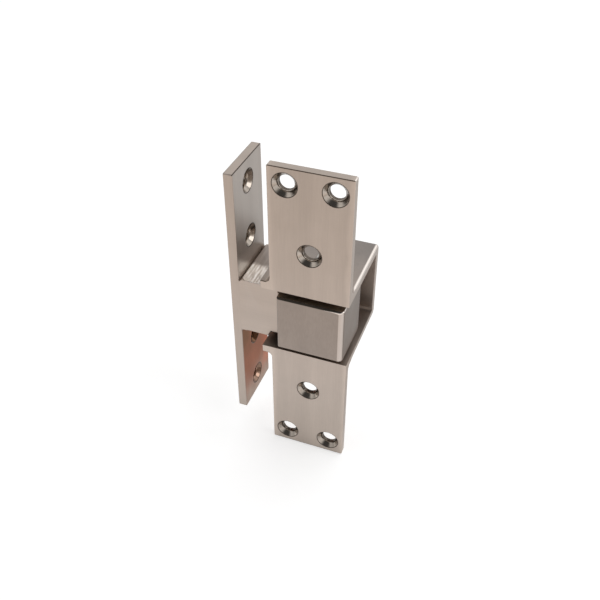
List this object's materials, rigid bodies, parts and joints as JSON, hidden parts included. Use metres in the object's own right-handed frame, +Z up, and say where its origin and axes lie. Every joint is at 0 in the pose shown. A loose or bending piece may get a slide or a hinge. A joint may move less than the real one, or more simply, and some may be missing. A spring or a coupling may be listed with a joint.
{
  "type": "pivot hinge",
  "caption": "Pocket pivot hinge: a jamb plate carries a welded arm and knuckle, and a cast door leaf swings about the knuckle on an upright pin.",
  "frame": {"origin": "centre of the jamb plate's mounting face", "axes": "+X out of the jamb plate towards the door, +Y from the door leaf's screw face towards its pocket, +Z up along the pivot pin; the door stands open at 90 degrees"},
  "size_m": [0.0604, 0.0496, 0.1642],
  "materials": {
    "satin_stainless": "satin, fine upright grain",
    "sawn_stainless": "sawn and ground, unpolished",
    "weld_bead": "welded, ground flush",
    "pin_steel": "ground",
    "ring_steel": "dark spring steel",
    "bearing_bronze": "sintered, oiled"
  },
  "bodies": {
    "jamb_side": {"jamb_plate": "satin_stainless", "pivot_arm": "sawn_stainless", "knuckle_block": "satin_stainless", "weld_plate_front": "weld_bead", "weld_plate_rear": "weld_bead", "weld_plate_bottom": "weld_bead", "weld_knuckle_front": "weld_bead", "weld_knuckle_rear": "weld_bead", "weld_knuckle_bottom": "weld_bead", "upper_bushing": "bearing_bronze", "lower_bushing": "bearing_bronze", "upper_thrust_washer": "pin_steel", "lower_thrust_washer": "pin_steel"},
    "door_side": {"door_leaf": "satin_stainless", "pivot_pin": "pin_steel", "retaining_ring": "ring_steel"}
  },
  "joints": [
    {"name": "door_swing", "type": "hinge", "parent": "jamb_side", "child": "door_side", "pos_m": [0.0421, 0.0024, 0], "axis": [0, 0, 1], "range_deg": [-90, 15]}
  ]
}
